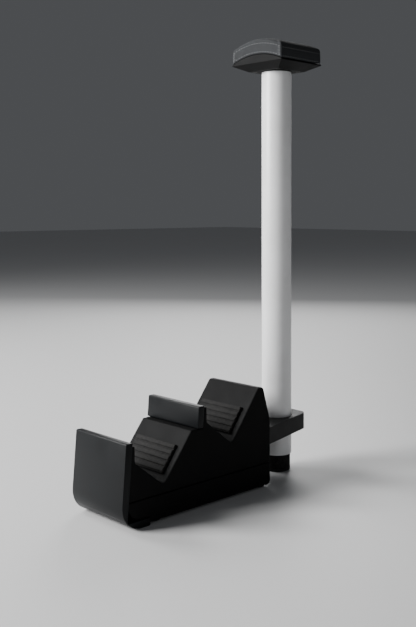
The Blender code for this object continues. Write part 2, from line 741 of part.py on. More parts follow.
# ---- Build --------------------------------------------------------------------------------
CRADLES = {
    "front": cradle_frame("front_cradle", FRONT_VEE),
    "rear": cradle_frame("rear_cradle", REAR_VEE),
}
upper_shell(CRADLES.values())
lower_shell()
front_cover()
rear_cover()
for place, frame in CRADLES.items():
    sprung_contact(place, frame)
    cradle_pad(place, frame)
dock_interior()
contact_ribbon("front", FRONT_VEE, -0.019)
contact_ribbon("rear", REAR_VEE, -0.004)
for number, spot in enumerate(RUBBER_FEET, 1):
    drill(f"rubber_foot_{number}", [spot], 0.0046, 0.0, 0.0023, "black_rubber")
base_screw = screw_profile(0.0026, 0.0, 0.0018, 0.0012, -0.0200)
upside_down = Matrix.Rotation(math.pi, 4, "X")
screw_places = [Matrix.Translation((x, y, 0.0037)) @ upside_down for x, y in BASE_SCREWS]
turned("base_screw", base_screw, "black_screw", screw_places, sides=12)
tail_arm()
pole()
saddle()
bpy.context.view_layer.update()
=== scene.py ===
# %% [markdown]
# # A headphone stand with two controller cradles
#
# The stand is a white powder-coated pole under a padded saddle, clamped in a black arm behind a
# narrow stepped dock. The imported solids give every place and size, and they carry the joints.
# This file gives the stand its surfaces: the sewn pad, the softened covers, the screws with
# their drives, and a finish for each material that a hand would tell apart.

# %% Load the frame
import json
import math

import bmesh
import bpy
from mathutils import Matrix, Vector, noise
from mathutils.bvhtree import BVHTree


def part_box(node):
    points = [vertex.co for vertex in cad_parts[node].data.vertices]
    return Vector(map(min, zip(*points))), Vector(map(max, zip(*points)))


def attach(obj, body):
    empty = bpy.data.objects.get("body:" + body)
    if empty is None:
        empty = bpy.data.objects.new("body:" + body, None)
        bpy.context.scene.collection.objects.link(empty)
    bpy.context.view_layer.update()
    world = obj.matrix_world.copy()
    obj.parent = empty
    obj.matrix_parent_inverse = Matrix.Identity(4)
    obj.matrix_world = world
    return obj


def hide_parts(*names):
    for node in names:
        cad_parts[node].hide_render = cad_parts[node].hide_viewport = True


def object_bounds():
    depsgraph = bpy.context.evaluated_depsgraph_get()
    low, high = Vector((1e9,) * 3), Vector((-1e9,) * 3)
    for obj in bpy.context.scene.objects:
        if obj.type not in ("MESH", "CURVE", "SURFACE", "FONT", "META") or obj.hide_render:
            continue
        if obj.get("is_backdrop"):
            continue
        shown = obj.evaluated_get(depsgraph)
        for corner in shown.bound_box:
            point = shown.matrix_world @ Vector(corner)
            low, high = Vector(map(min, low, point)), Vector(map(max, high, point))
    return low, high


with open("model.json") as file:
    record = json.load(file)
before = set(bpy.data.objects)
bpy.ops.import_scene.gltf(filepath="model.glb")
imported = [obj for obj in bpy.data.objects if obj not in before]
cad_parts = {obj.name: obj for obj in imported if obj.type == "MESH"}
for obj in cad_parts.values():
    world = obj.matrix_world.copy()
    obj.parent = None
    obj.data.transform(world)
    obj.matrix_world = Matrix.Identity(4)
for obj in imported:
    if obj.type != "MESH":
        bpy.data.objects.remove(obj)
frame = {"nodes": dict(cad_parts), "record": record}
cad_low, cad_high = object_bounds()
print("the stand is", [round(1000 * side, 1) for side in Vector(cad_high) - Vector(cad_low)], "mm")

# %% [markdown]
# ## Camera
#
# The camera is level and a little below the saddle, in front of the stand's right-hand corner.
# A level camera keeps the pole upright, and a vertical shift brings the table into the frame.
# Tilting the camera would do that too, but the pole's sides would then converge.

# %% Camera
CAMERA_PLACE = (0.4383, -0.4189, 0.194)
CAMERA_AIM = (-0.722, 0.692, 0.0)
camera_data = bpy.data.cameras.new("view")
camera_data.lens = 50.5
camera_data.shift_y = -0.168
camera_data.clip_start = 0.01
camera = bpy.data.objects.new("view", camera_data)
bpy.context.scene.collection.objects.link(camera)
camera.location = CAMERA_PLACE
camera.rotation_euler = Vector(CAMERA_AIM).to_track_quat("-Z", "Y").to_euler()
bpy.context.scene.camera = camera
print("camera at", CAMERA_PLACE)

# %% [markdown]
# ## Light
#
# One large softbox stands to the camera's left and a little in front. It rolls from bright to
# dark across the pole, which tells the eye that it is round. A smaller box higher on the left
# draws a thin light line along the covers' upper rims. A weak box on the right keeps the black
# plastic from closing up, and one behind parts the dock from the floor. The sky stays dim, or it
# would wash out the blacks.

# %% Four softboxes and a dim sky
LIGHT_AIM = Vector((0, 0, 0.14))
SKY_COLOUR = (0.78, 0.81, 0.86, 1)
SKY_STRENGTH = 0.10


def softbox(name, place, size, watts):
    """A square area light at a place, turned towards the stand."""
    data = bpy.data.lights.new(name, "AREA")
    data.size = size
    data.energy = watts
    light = bpy.data.objects.new(name, data)
    bpy.context.scene.collection.objects.link(light)
    light.location = place
    light.rotation_euler = (LIGHT_AIM - Vector(place)).to_track_quat("-Z", "Y").to_euler()


softbox("key", place=(-0.52, -0.90, 0.60), size=0.50, watts=27)
softbox("edge", place=(-0.95, -0.30, 0.85), size=0.45, watts=9)
softbox("fill", place=(0.95, -0.25, 0.40), size=0.80, watts=0.6)
softbox("rim", place=(-0.70, 0.80, 0.55), size=0.50, watts=5)
sky = bpy.data.worlds.new("studio")
sky.use_nodes = True
sky.node_tree.nodes["Background"].inputs["Color"].default_value = SKY_COLOUR
sky.node_tree.nodes["Background"].inputs["Strength"].default_value = SKY_STRENGTH
bpy.context.scene.world = sky
print("lights:", [light.name for light in bpy.data.lights])

# %% [markdown]
# ## Shader maths as Python
#
# A node tree is easier to read as an expression. `Socket` wraps one output and overloads the
# arithmetic operators, so `1 - worn * 0.3` adds two Math nodes.


# %% The socket
class Socket:
    """One shader output, with arithmetic on numbers and on other sockets."""

    def __init__(self, finish, output):
        self.finish = finish
        self.output = output

    def maths(self, operation, left, right):
        return self.finish.node("ShaderNodeMath", {"operation": operation}, {0: left, 1: right})

    def __add__(self, other):
        return self.maths("ADD", self, other)

    def __radd__(self, other):
        return self.maths("ADD", other, self)

    def __sub__(self, other):
        return self.maths("SUBTRACT", self, other)

    def __rsub__(self, other):
        return self.maths("SUBTRACT", other, self)

    def __mul__(self, other):
        return self.maths("MULTIPLY", self, other)

    def __rmul__(self, other):
        return self.maths("MULTIPLY", other, self)


# %% [markdown]
# ## A finish
#
# A finish is one Principled material. Every node comes from `Finish.node`, which sets the node's
# own settings first and its sockets after. The other methods are the few patterns that this
# stand's materials share. Their scales are per metre, because they read Object coordinates and
# the stand is built in metres.


# %% The finish
class Finish:
    """A Principled material: constants sit on its sockets and patterns are linked to them."""

    def __init__(self, name, **constants):
        self.material = bpy.data.materials.new(name)
        self.material.use_nodes = True
        self.tree = self.material.node_tree
        self.shader = self.tree.nodes["Principled BSDF"]
        for socket, value in constants.items():
            self.shader.inputs[socket.replace("_", " ")].default_value = value

    def node(self, kind, settings=None, inputs=None, output=0):
        """Add a node: its settings first, a ramp's stops among them, and then its sockets."""
        made = self.tree.nodes.new(kind)
        for setting, value in (settings or {}).items():
            if setting == "stops":
                for _ in value[2:]:
                    made.color_ramp.elements.new(0.5)
                for element, (position, colour) in zip(made.color_ramp.elements, value):
                    element.position = position
                    element.color = (*colour, 1.0)
            else:
                setattr(made, setting, value)
        for key, value in (inputs or {}).items():
            if isinstance(value, Socket):
                self.tree.links.new(value.output, made.inputs[key])
            else:
                made.inputs[key].default_value = value
        return Socket(self, made.outputs[output])

    def place(self, scale=(1, 1, 1), turn=(0, 0, 0)):
        """Object coordinates, stretched and turned by a Mapping node."""
        where = self.node("ShaderNodeTexCoord", output="Object")
        return self.node(
            "ShaderNodeMapping", None, {"Vector": where, "Scale": scale, "Rotation": turn})

    def noise(self, scale, detail=3.0, rough=0.5, where=None):
        """A cloudy pattern with this many lumps to the metre."""
        inputs = {"Vector": where or self.place(), "Scale": scale, "Detail": detail}
        return self.node("ShaderNodeTexNoise", None, {**inputs, "Roughness": rough})

    def cells(self, scale, feature="F1"):
        """A cellular pattern with this many cells to the metre."""
        return self.node(
            "ShaderNodeTexVoronoi", {"feature": feature},
            {"Vector": self.place(), "Scale": scale})

    def bands(self, pitch, direction, turn=(0, 0, 0), wobble=0.0):
        """Straight bands that repeat at a pitch in metres."""
        return self.node(
            "ShaderNodeTexWave", {"bands_direction": direction},
            {"Vector": self.place(turn=turn), "Scale": math.pi / 10 / pitch, "Distortion": wobble})

    def ramp(self, value, *stops):
        """A colour ramp over a value, from (position, colour) stops."""
        return self.node("ShaderNodeValToRGB", {"stops": stops}, {"Fac": value})

    def mix(self, factor, first, second):
        """Two colours mixed by a factor."""
        return self.node(
            "ShaderNodeMix", {"data_type": "RGBA"}, {0: factor, 6: first, 7: second}, 2)

    def feed(self, socket, value):
        """Link a value to one of the shader's sockets."""
        self.tree.links.new(value.output, self.shader.inputs[socket])

    def bump(self, *layers):
        """Stack (height, strength, depth) layers into the shader's normal."""
        normal = {}
        for height, strength, depth in layers:
            inputs = {"Height": height, "Strength": strength, "Distance": depth, **normal}
            normal = {"Normal": self.node("ShaderNodeBump", None, inputs)}
        self.feed("Normal", normal["Normal"])

    def worn_edges(self, reach, gain):
        """Above 0 where a rounded normal differs from the real one, which is at the edges."""
        rounded = self.node("ShaderNodeBevel", {"samples": 4}, {"Radius": reach})
        real = self.node("ShaderNodeNewGeometry", output="Normal")
        alike = self.node(
            "ShaderNodeVectorMath", {"operation": "DOT_PRODUCT"}, {0: rounded, 1: real}, "Value")
        return (1.0 - alike) * gain


def grey(level, blue=0.0):
    """A grey, with a little more blue than red if asked."""
    return (level * (1 - blue), level, level * (1 + blue))


print("shader helpers are ready")

# %% [markdown]
# ## White powder coat
#
# Powder is sprayed on dry and baked, and melts into a skin with a faint orange peel: soft hills
# about a millimetre across. Hands leave it a little glossier in patches. One fine noise makes
# the hills, and a slow one moves the tint and the gloss.


# %% Powder coat
def powder_coat():
    coat = Finish("white_powder_coat", Roughness=0.36, Coat_Weight=0.15, Coat_Roughness=0.25)
    handled = coat.noise(45, detail=4, rough=0.6)
    specks = coat.noise(5200, detail=1)
    tint = coat.ramp(handled, (0.30, grey(0.80)), (0.65, grey(0.87, 0.004)))
    coat.feed("Base Color", coat.mix(specks * 0.10, tint, (*grey(0.70), 1.0)))
    coat.feed("Roughness", handled * 0.22 + 0.24)
    coat.bump((coat.noise(1050, detail=2, rough=0.45), 0.30, 0.00012), (specks, 0.10, 0.00002))
    return coat.material


# %% [markdown]
# ## Moulded plastics
#
# Dock shells come out of a mould with a spark-eroded skin, a field of tiny pits that kills
# reflections. Cells make the pits, and a slow noise varies the gloss, because a wide black
# surface never looks even. Edges that hands and controllers rub turn a little paler and
# smoother. The lip covers have the same recipe with a finer grain, so they look like satin.


# %% Moulded plastics
def moulded(name, level, blue, rough, grain, depth, wear, gloss):
    """A black plastic. Grain is its pits to the metre, and wear is how pale its edges turn."""
    plastic = Finish(name, Roughness=rough, Specular_IOR_Level=gloss)
    patches = plastic.noise(70, detail=5, rough=0.62)
    pits = plastic.cells(grain)
    fine = plastic.noise(grain * 2, detail=2)
    body = plastic.ramp(patches, (0.32, grey(level * 0.78, blue)), (0.70, grey(level * 1.3, blue)))
    speckled = plastic.mix(fine * 0.35, body, (*grey(level * 2.1, blue), 1.0))
    rubbed = plastic.worn_edges(0.0005, wear)
    plastic.feed("Base Color", plastic.mix(rubbed, speckled, (*grey(level * 5, blue), 1.0)))
    plastic.feed("Roughness", patches * 0.24 + (rough - 0.12) - rubbed * 0.10)
    plastic.bump((pits, 0.40, depth), (fine, 0.20, depth * 0.4))
    return plastic.material


# %% [markdown]
# ## Coated casting
#
# The arm is cast and thickly coated. Its skin is lumpier than the moulding's, like fine
# leather, and a little paler where the coat is thin over the edges.


# %% Casting
def coated_casting():
    casting = Finish("black_casting", Roughness=0.5, Specular_IOR_Level=0.14)
    patches = casting.noise(80, detail=4)
    lumps = casting.noise(1300, detail=4, rough=0.6)
    wrinkles = casting.cells(900, feature="SMOOTH_F1")
    body = casting.ramp(patches, (0.3, grey(0.003)), (0.7, grey(0.007, 0.03)))
    bare = casting.worn_edges(0.0006, 0.5)
    casting.feed("Base Color", casting.mix(bare, body, (*grey(0.05), 1.0)))
    casting.feed("Roughness", patches * 0.20 + lumps * 0.12 + 0.36)
    casting.bump((wrinkles, 0.30, 0.00015), (lumps, 0.40, 0.00010))
    return casting.material


# %% [markdown]
# ## Rubber
#
# Feet and cradle pads are matte rubber. Dust settles in its grain, so it is a shade paler and
# warmer than the plastic round it, and never shiny.


# %% Rubber
def rubber():
    soft = Finish("black_rubber", Roughness=0.8, Specular_IOR_Level=0.2)
    dust = soft.noise(520, detail=6, rough=0.72)
    skin = soft.cells(3300)
    soft.feed("Base Color", soft.ramp(dust, (0.42, grey(0.006)), (0.74, (0.024, 0.0228, 0.0215))))
    soft.feed("Roughness", dust * 0.22 + 0.68)
    soft.bump((dust, 0.30, 0.00008), (skin, 0.35, 0.00005))
    return soft.material


# %% [markdown]
# ## Plated metals
#
# Screws, springs, pins and the inlet are plated. Plating keeps the fine grain of the turned or
# drawn metal under it and dulls unevenly, so a stretched noise moves the gloss and a slow one
# stains the colour.


# %% Plated metals
def plated(name, bright, dull, rough):
    metal = Finish(name, Roughness=rough, Metallic=1.0)
    drawn = metal.noise(900, detail=3, where=metal.place(scale=(1.0, 1.0, 8.0)))
    stain = metal.noise(260, detail=4, rough=0.65)
    metal.feed("Base Color", metal.ramp(stain, (0.35, dull), (0.65, bright)))
    metal.feed("Roughness", drawn * 0.20 + stain * 0.10 + (rough - 0.15))
    metal.bump((drawn, 0.20, 0.00003))
    return metal.material


# %% [markdown]
# ## Circuit board and ribbon
#
# The board's solder mask is a glossy green film. Copper tracks under it show as paler runs:
# the borders of a cell pattern are near enough. The ribbon is amber film with parallel tracks.


# %% Board and ribbon
def solder_mask():
    mask = Finish("green_board", Roughness=0.35, Coat_Weight=0.4)
    borders = mask.cells(330, feature="DISTANCE_TO_EDGE")
    tracks = mask.ramp(borders, (0.04, grey(1.0)), (0.07, grey(0.0)))
    green = mask.mix(tracks, (0.012, 0.085, 0.036, 1.0), (0.03, 0.19, 0.08, 1.0))
    mask.feed("Base Color", green)
    mask.feed("Roughness", mask.noise(240) * 0.20 + 0.25)
    mask.bump((tracks, 0.3, 0.00003))
    return mask.material


def amber_film():
    film = Finish("ribbon", Roughness=0.3, Coat_Weight=0.3)
    lines = film.bands(0.0010, "X")
    tint = film.ramp(lines, (0.45, (0.46, 0.25, 0.06)), (0.55, (0.62, 0.36, 0.16)))
    film.feed("Base Color", tint)
    film.feed("Roughness", film.noise(300) * 0.20 + 0.22)
    film.bump((lines, 0.3, 0.00003))
    return film.material


# %% [markdown]
# ## Cloth and thread
#
# The pad wears a plain weave of dark grey yarn. Three sets of bands make the over-and-under.
# Each set is turned by an eighth of a circle about another axis, so that at least two of them
# cross on every side of the pad and none of them widens into stripes where the pad curves. Two
# noises give the yarn its hairs and the cloth its mottle. Sheen is the light that stray fibres
# catch at the pad's outline. The thread is paler, and twisted.


# %% Cloth and thread
YARN_PITCH = 0.00062


def woven_cloth():
    cloth = Finish("grey_fabric", Roughness=0.9, Sheen_Weight=0.025, Sheen_Roughness=0.5)
    eighth = math.pi / 4
    across = cloth.bands(YARN_PITCH, "X", (0, 0, eighth), 0.7)
    along = cloth.bands(YARN_PITCH, "Y", (eighth, 0, 0), 0.7)
    upward = cloth.bands(YARN_PITCH, "Z", (0, eighth, 0), 0.7)
    weave = (across + along + upward) * 0.333
    fibre = cloth.noise(2600, detail=4, rough=0.7)
    mottle = cloth.noise(330, detail=5, rough=0.65)
    shade = weave * 0.35 + fibre * 0.30 + mottle * 0.35
    tint = cloth.ramp(shade, (0.36, (0.0050, 0.0058, 0.0070)), (0.64, (0.0190, 0.0215, 0.0245)))
    cloth.feed("Base Color", tint)
    cloth.feed("Roughness", fibre * 0.18 + 0.78)
    cloth.bump((weave, 0.60, 0.00016), (fibre, 0.45, 0.00008))
    return cloth.material


def pale_thread():
    yarn = Finish("pale_thread", Roughness=0.7, Sheen_Weight=0.15)
    twist = yarn.noise(3200, detail=3, rough=0.6)
    yarn.feed("Base Color", yarn.ramp(twist, (0.35, grey(0.075, 0.04)), (0.65, grey(0.17, 0.03))))
    yarn.feed("Roughness", twist * 0.20 + 0.62)
    yarn.bump((twist, 0.5, 0.00006))
    return yarn.material


# %% One material for each slot
SLOTS = {
    "white_powder_coat": powder_coat(),
    "black_moulding": moulded(
        "black_moulding", level=0.0024, blue=0.03, rough=0.62, grain=2300, depth=0.00016,
        wear=0.30, gloss=0.09),
    "charcoal_satin": moulded(
        "charcoal_satin", level=0.0036, blue=0.16, rough=0.40, grain=3400, depth=0.00006,
        wear=0.9, gloss=0.16),
    "black_casting": coated_casting(),
    "black_rubber": rubber(),
    "grey_fabric": woven_cloth(),
    "zinc_steel": plated(
        "zinc_steel", bright=grey(0.62, 0.01), dull=(0.47, 0.46, 0.43), rough=0.34),
    "black_screw": plated(
        "black_screw", bright=grey(0.060), dull=(0.034, 0.031, 0.028), rough=0.42),
    "gold_contact": plated(
        "gold_contact", bright=(0.86, 0.62, 0.24), dull=(0.70, 0.47, 0.18), rough=0.24),
    "green_board": solder_mask(),
    "ribbon": amber_film(),
}
slot_of = {part["node"]: part["material_slot"] for part in frame["record"]["subparts"]}
for name, node in frame["nodes"].items():
    node.data.materials.clear()
    node.data.materials.append(SLOTS[slot_of[name]])
print("finished", len(frame["nodes"]), "nodes with", len(SLOTS), "materials")

# %% [markdown]
# ## From a bmesh to a piece
#
# Every new piece ends the same way: loose doubles are merged, faces are turned outwards, faces
# that meet at a shallow angle are shaded as one curve, and the piece rides on its body. The
# object stays at the origin and its place is in its mesh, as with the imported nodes.


# %% Finish a piece
SHARP = math.radians(38)


def make_piece(name, work, slot, replaced=(), body="stand", material=None, merge=1e-7):
    """Turn a bmesh into a finished object that rides on a body."""
    bmesh.ops.remove_doubles(work, verts=work.verts, dist=merge)
    bmesh.ops.recalc_face_normals(work, faces=work.faces)
    mesh = bpy.data.meshes.new(name)
    work.to_mesh(mesh)
    work.free()
    mesh.shade_smooth()
    mesh.set_sharp_from_angle(angle=SHARP)
    mesh.materials.append(material or SLOTS[slot])
    piece = bpy.data.objects.new(name, mesh)
    bpy.context.scene.collection.objects.link(piece)
    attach(piece, body)
    if replaced:
        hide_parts(*replaced)
    print(name, len(mesh.polygons), "faces")


# %% [markdown]
# ## Lip covers
#
# The front cover is a satin panel that leans back, then scoops under to a toe on the table. It
# starts as a flat strip seen from the side, an L with sharp corners, which is extruded across
# the dock. Bevels of different widths then make the scoop, its inside and the fine rim. That
# thin rim is what catches the light along the top edge. The rear cover leans the same way and
# has no scoop, because it stands on the dock.

# %% Side strip, extruded across
COVER_THICK = 0.005
COVER_LEAN = math.radians(4.5)
FRONT_TOP_Y = -0.0909
TOE_Y = -0.072
TOE_THICK = 0.0046
SCOOP_R = 0.015
SCOOP_STEPS = 18
INNER_STEPS = 14
RIM = 0.0008
RIM_STEPS = 3
NEAR = 0.0005


def strip(profile, half_width):
    """A closed (y, z) profile extruded across the dock, from -half_width to half_width."""
    work = bmesh.new()
    side = work.faces.new([work.verts.new((-half_width, y, z)) for y, z in profile])
    grown = bmesh.ops.extrude_face_region(work, geom=[side])
    moved = [item for item in grown["geom"] if isinstance(item, bmesh.types.BMVert)]
    bmesh.ops.translate(work, verts=moved, vec=(2 * half_width, 0, 0))
    bmesh.ops.recalc_face_normals(work, faces=work.faces)
    return work


def round_edges(work, chosen, width, segments):
    """Round the edges that pass a test."""
    edges = [edge for edge in work.edges if chosen(edge)]
    bmesh.ops.bevel(
        work, geom=edges, offset=width, offset_type="OFFSET", affect="EDGES",
        segments=segments, profile=0.5, material=-1, clamp_overlap=True)


def runs_across(edge):
    """True for an edge along X."""
    ends = edge.verts[0].co - edge.verts[1].co
    return abs(ends.x) > 0.9 * ends.length


def near(edge, y, z):
    """True for an edge along X whose line passes close to (y, z)."""
    here = edge.verts[0].co
    return runs_across(edge) and math.hypot(here.y - y, here.z - z) < NEAR


def is_rim(edge):
    """True for an edge round one of the two flat ends of a strip."""
    flat = [abs(face.normal.x) > 0.99 for face in edge.link_faces]
    return len(flat) == 2 and flat[0] != flat[1]


# %% Front lip cover
lean = math.tan(COVER_LEAN)
cover_top = Vector(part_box("front_lip_cover")[1])
front_top = (FRONT_TOP_Y, cover_top.z)
back_top = (FRONT_TOP_Y + COVER_THICK, cover_top.z)
heel = (FRONT_TOP_Y - cover_top.z * lean, 0.0)
inner_heel = (FRONT_TOP_Y - (cover_top.z - TOE_THICK) * lean + COVER_THICK, TOE_THICK)
toe = (TOE_Y, 0.0)
toe_top = (TOE_Y, TOE_THICK)
cover = strip([front_top, heel, toe, toe_top, inner_heel, back_top], cover_top.x)
# A bevel's offset is measured along the faces, so an arc's radius is turned into that first.
along_face = 1 / math.tan((math.pi / 2 - COVER_LEAN) / 2)
round_edges(cover, lambda edge: near(edge, *heel), SCOOP_R * along_face, SCOOP_STEPS)
inner_r = SCOOP_R - COVER_THICK
round_edges(cover, lambda edge: near(edge, *inner_heel), inner_r * along_face, INNER_STEPS)
for corner in (front_top, back_top, toe, toe_top):
    round_edges(cover, lambda edge: near(edge, *corner), RIM, RIM_STEPS)
round_edges(cover, is_rim, RIM, RIM_STEPS)
make_piece("front_cover_panel", cover, "charcoal_satin", ["front_lip_cover"])

# %% Rear lip cover
rear_low, rear_high = (Vector(corner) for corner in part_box("rear_lip_cover"))
rear_height = rear_high.z - rear_low.z
rear_top = (rear_high.y - COVER_THICK, rear_high.z)
rear_foot = (rear_top[0] - rear_height * lean, rear_low.z)
plate = strip(
    [rear_top, rear_foot, (rear_foot[0] + COVER_THICK, rear_low.z),
     (rear_top[0] + COVER_THICK, rear_high.z)], rear_high.x)
round_edges(plate, runs_across, RIM, RIM_STEPS)
round_edges(plate, is_rim, RIM, RIM_STEPS)
make_piece("rear_cover_panel", plate, "charcoal_satin", ["rear_lip_cover"])

# %% [markdown]
# ## Turned parts
#
# The pole, its foot, the four rubber feet, the pins and the screws are all round, so each is a
# half outline spun about an axis. A screw's drive isn't round: after the spin, the rings inside
# the drive are pushed to the outline of a hexagon or a cross. Cutting it with a Boolean would
# also work, but leaves long thin faces in the head.


# %% Spin a profile
def spun(profile, sides, closed=False):
    """Spin (radius, height) points round Z. A closed profile makes a tube."""
    work = bmesh.new()
    line = [work.verts.new((radius, 0, height)) for radius, height in profile]
    pairs = list(zip(line, line[1:]))
    if closed:
        pairs.append((line[-1], line[0]))
    edges = [work.edges.new(pair) for pair in pairs]
    bmesh.ops.spin(
        work, geom=line + edges, cent=(0, 0, 0), axis=(0, 0, 1), dvec=(0, 0, 0),
        angle=2 * math.pi, steps=sides, use_merge=True, use_duplicate=False)
    bmesh.ops.remove_doubles(work, verts=work.verts, dist=1e-7)
    return work


def placed(work, matrix):
    """Move a whole bmesh to its place."""
    bmesh.ops.transform(work, matrix=matrix, verts=work.verts)
    return work


CORNER_STEPS = 4


def rounded(radius, low, high, edge):
    """The right-hand side of a profile from low to high, with both corners rounded."""
    points = []
    for centre, start in ((low + edge, -90), (high - edge, 0)):
        for step in range(CORNER_STEPS + 1):
            angle = math.radians(start + 90 * step / CORNER_STEPS)
            across = radius - edge + edge * math.cos(angle)
            points.append((across, centre + edge * math.sin(angle)))
    return points


# %% Pole tube
tube_low, tube_high = (Vector(corner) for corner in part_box("pole_tube"))
pole_axis = Matrix.Translation(((tube_low.x + tube_high.x) / 2, (tube_low.y + tube_high.y) / 2, 0))
POLE_R = (tube_high.x - tube_low.x) / 2
POLE_WALL = 0.0012
POLE_END_R = 0.0004
POLE_SIDES = 128
outside = rounded(POLE_R, tube_low.z, tube_high.z, POLE_END_R)
inside = [(POLE_R - POLE_WALL, tube_high.z), (POLE_R - POLE_WALL, tube_low.z)]
make_piece(
    "pole_coated_tube", placed(spun(outside + inside, POLE_SIDES, closed=True), pole_axis),
    "white_powder_coat", ["pole_tube"])

# %% Pole foot
foot_low, foot_high = (Vector(corner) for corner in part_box("pole_foot"))
FOOT_R = (foot_high.x - foot_low.x) / 2
FOOT_SHOULDER = 0.012
FOOT_EDGE_R = 0.0006
FOOT_GROOVE = 0.0030
GROOVE_DEPTH = 0.0004
PLUG_GAP = 0.0003
PLUG_TAPER = 0.001
FOOT_SIDES = 64
sleeve = rounded(FOOT_R, foot_low.z, FOOT_SHOULDER, FOOT_EDGE_R)
lower_half = len(sleeve) // 2
groove = [
    (FOOT_R, FOOT_GROOVE - GROOVE_DEPTH),
    (FOOT_R - GROOVE_DEPTH, FOOT_GROOVE),
    (FOOT_R, FOOT_GROOVE + GROOVE_DEPTH),
]
sleeve = sleeve[:lower_half] + groove + sleeve[lower_half:]
plug_r = POLE_R - POLE_WALL - PLUG_GAP
plug = [
    (plug_r, FOOT_SHOULDER),
    (plug_r, foot_high.z - PLUG_TAPER),
    (plug_r - PLUG_TAPER, foot_high.z),
]
stopper = [(0, foot_low.z)] + sleeve + plug + [(0, foot_high.z)]
make_piece(
    "pole_rubber_foot", placed(spun(stopper, FOOT_SIDES), pole_axis), "black_rubber",
    ["pole_foot"])

# %% Base feet
DIMPLE_DEPTH = 0.0004
DIMPLE_FLOOR = 0.55
DIMPLE_RIM = 0.62
PAD_FOOT_EDGE_R = 0.0005
PAD_FOOT_SIDES = 40
for number in range(1, 5):
    low, high = (Vector(corner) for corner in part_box(f"rubber_foot_{number}"))
    radius = (high.x - low.x) / 2
    dimple = low.z + DIMPLE_DEPTH
    outline = [(0, dimple), (radius * DIMPLE_FLOOR, dimple), (radius * DIMPLE_RIM, low.z)]
    outline += rounded(radius, low.z, high.z, PAD_FOOT_EDGE_R)
    outline.append((0, high.z))
    spot = Matrix.Translation(((low.x + high.x) / 2, (low.y + high.y) / 2, 0))
    make_piece(
        f"base_foot_{number}", placed(spun(outline, PAD_FOOT_SIDES), spot), "black_rubber",
        [f"rubber_foot_{number}"])

# %% [markdown]
# ## Screws
#
# A pan-head screw is a shallow dome on a threaded shank. The heads under the base, the arm and
# the saddle have a cross drive. The pole is held by a headless set screw with a hexagon socket,
# which shows in the arm's rear face. The threads are rings and not a helix, which nobody can
# tell inside the plastic.


# %% Drives and threads
CROSS_ARM = 0.36
THREAD_ROOT = 0.80
TIP_TAPER = 0.6


def hexagon(angle):
    """The radius of a hexagon of inner radius 1 at an angle."""
    return 1 / math.cos((angle + math.pi / 6) % (math.pi / 3) - math.pi / 6)


def cross(angle):
    """The radius of a cross whose arms reach 1 at an angle."""
    from_arm = abs((angle + math.pi / 4) % (math.pi / 2) - math.pi / 4)
    if math.tan(from_arm) < CROSS_ARM:
        return 1 / math.cos(from_arm)
    return CROSS_ARM / math.sin(from_arm)


def shape_drive(work, reach, floor, outline):
    """Push the rings above the drive's floor and within its reach to the drive's outline."""
    for corner in work.verts:
        radius = math.hypot(corner.co.x, corner.co.y)
        if 1e-6 < radius < reach * 1.01 and corner.co.z > floor - 1e-6:
            factor = outline(math.atan2(corner.co.y, corner.co.x))
            corner.co.x *= factor
            corner.co.y *= factor


def thread(radius, top, tip, pitch):
    """Rings down a shank, from top to a blunt tip."""
    count = int((top - tip) / pitch) - 1
    points = []
    for turn in range(count):
        height = top - (turn + 0.5) * pitch
        points += [(radius * THREAD_ROOT, height), (radius, height - pitch * 0.5)]
    return points + [(radius * THREAD_ROOT, tip + radius * TIP_TAPER), (0, tip)]


# %% Pan-head screws
HEAD_HEIGHT = 0.66
DRIVE_REACH = 0.55
DRIVE_DEPTH = 0.55
DRIVE_TAPER = 0.86
DRIVE_LIP = 0.05
DOME_START = 1.25
DOME_DROP = 0.62
DOME_STEPS = 6
STEP_ANGLE = 15
SCREW_PITCH = 0.0007
SCREW_SIDES = 32


def pan_screw(name, node, slot, shank_r, upright):
    """A cross-drive screw in a node's box. Its head is at the top if upright, else at the foot."""
    low, high = (Vector(corner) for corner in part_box(node))
    length = high.z - low.z
    head_r = (high.x - low.x) / 2
    head = head_r * HEAD_HEIGHT
    reach = head_r * DRIVE_REACH
    floor = -head * DRIVE_DEPTH
    outline = [(0, floor), (reach * DRIVE_TAPER, floor), (reach, -head * DRIVE_LIP)]
    crown_r = reach * DOME_START
    for step in range(DOME_STEPS):
        angle = math.radians(STEP_ANGLE * step)
        across = crown_r + (head_r - crown_r) * math.sin(angle)
        outline.append((across, -head * DOME_DROP * (1 - math.cos(angle))))
    outline += [(head_r, -head * DOME_DROP), (head_r, -head), (shank_r, -head)]
    outline += thread(shank_r, -head, -length, SCREW_PITCH)
    work = spun(outline, SCREW_SIDES)
    shape_drive(work, reach, floor, cross)
    middle = (low + high) / 2
    if upright:
        place = Matrix.Translation((middle.x, middle.y, high.z))
    else:
        place = Matrix.Translation((middle.x, middle.y, low.z)) @ Matrix.Rotation(math.pi, 4, "X")
    make_piece(name, placed(work, place), slot, [node])


# %% Every pan-head screw, with its shank's radius
for number in range(1, 5):
    pan_screw(
        f"base_cross_screw_{number}", f"base_screw_{number}", "black_screw", shank_r=0.0012,
        upright=False)
    pan_screw(
        f"saddle_cross_screw_{number}", f"saddle_pad_screw_{number}", "black_screw",
        shank_r=0.0011, upright=False)
for number in (1, 2):
    pan_screw(
        f"arm_cross_screw_{number}", f"arm_screw_{number}", "zinc_steel", shank_r=0.0015,
        upright=False)
pan_screw("saddle_cross_bolt", "saddle_bolt", "zinc_steel", shank_r=0.0020, upright=True)

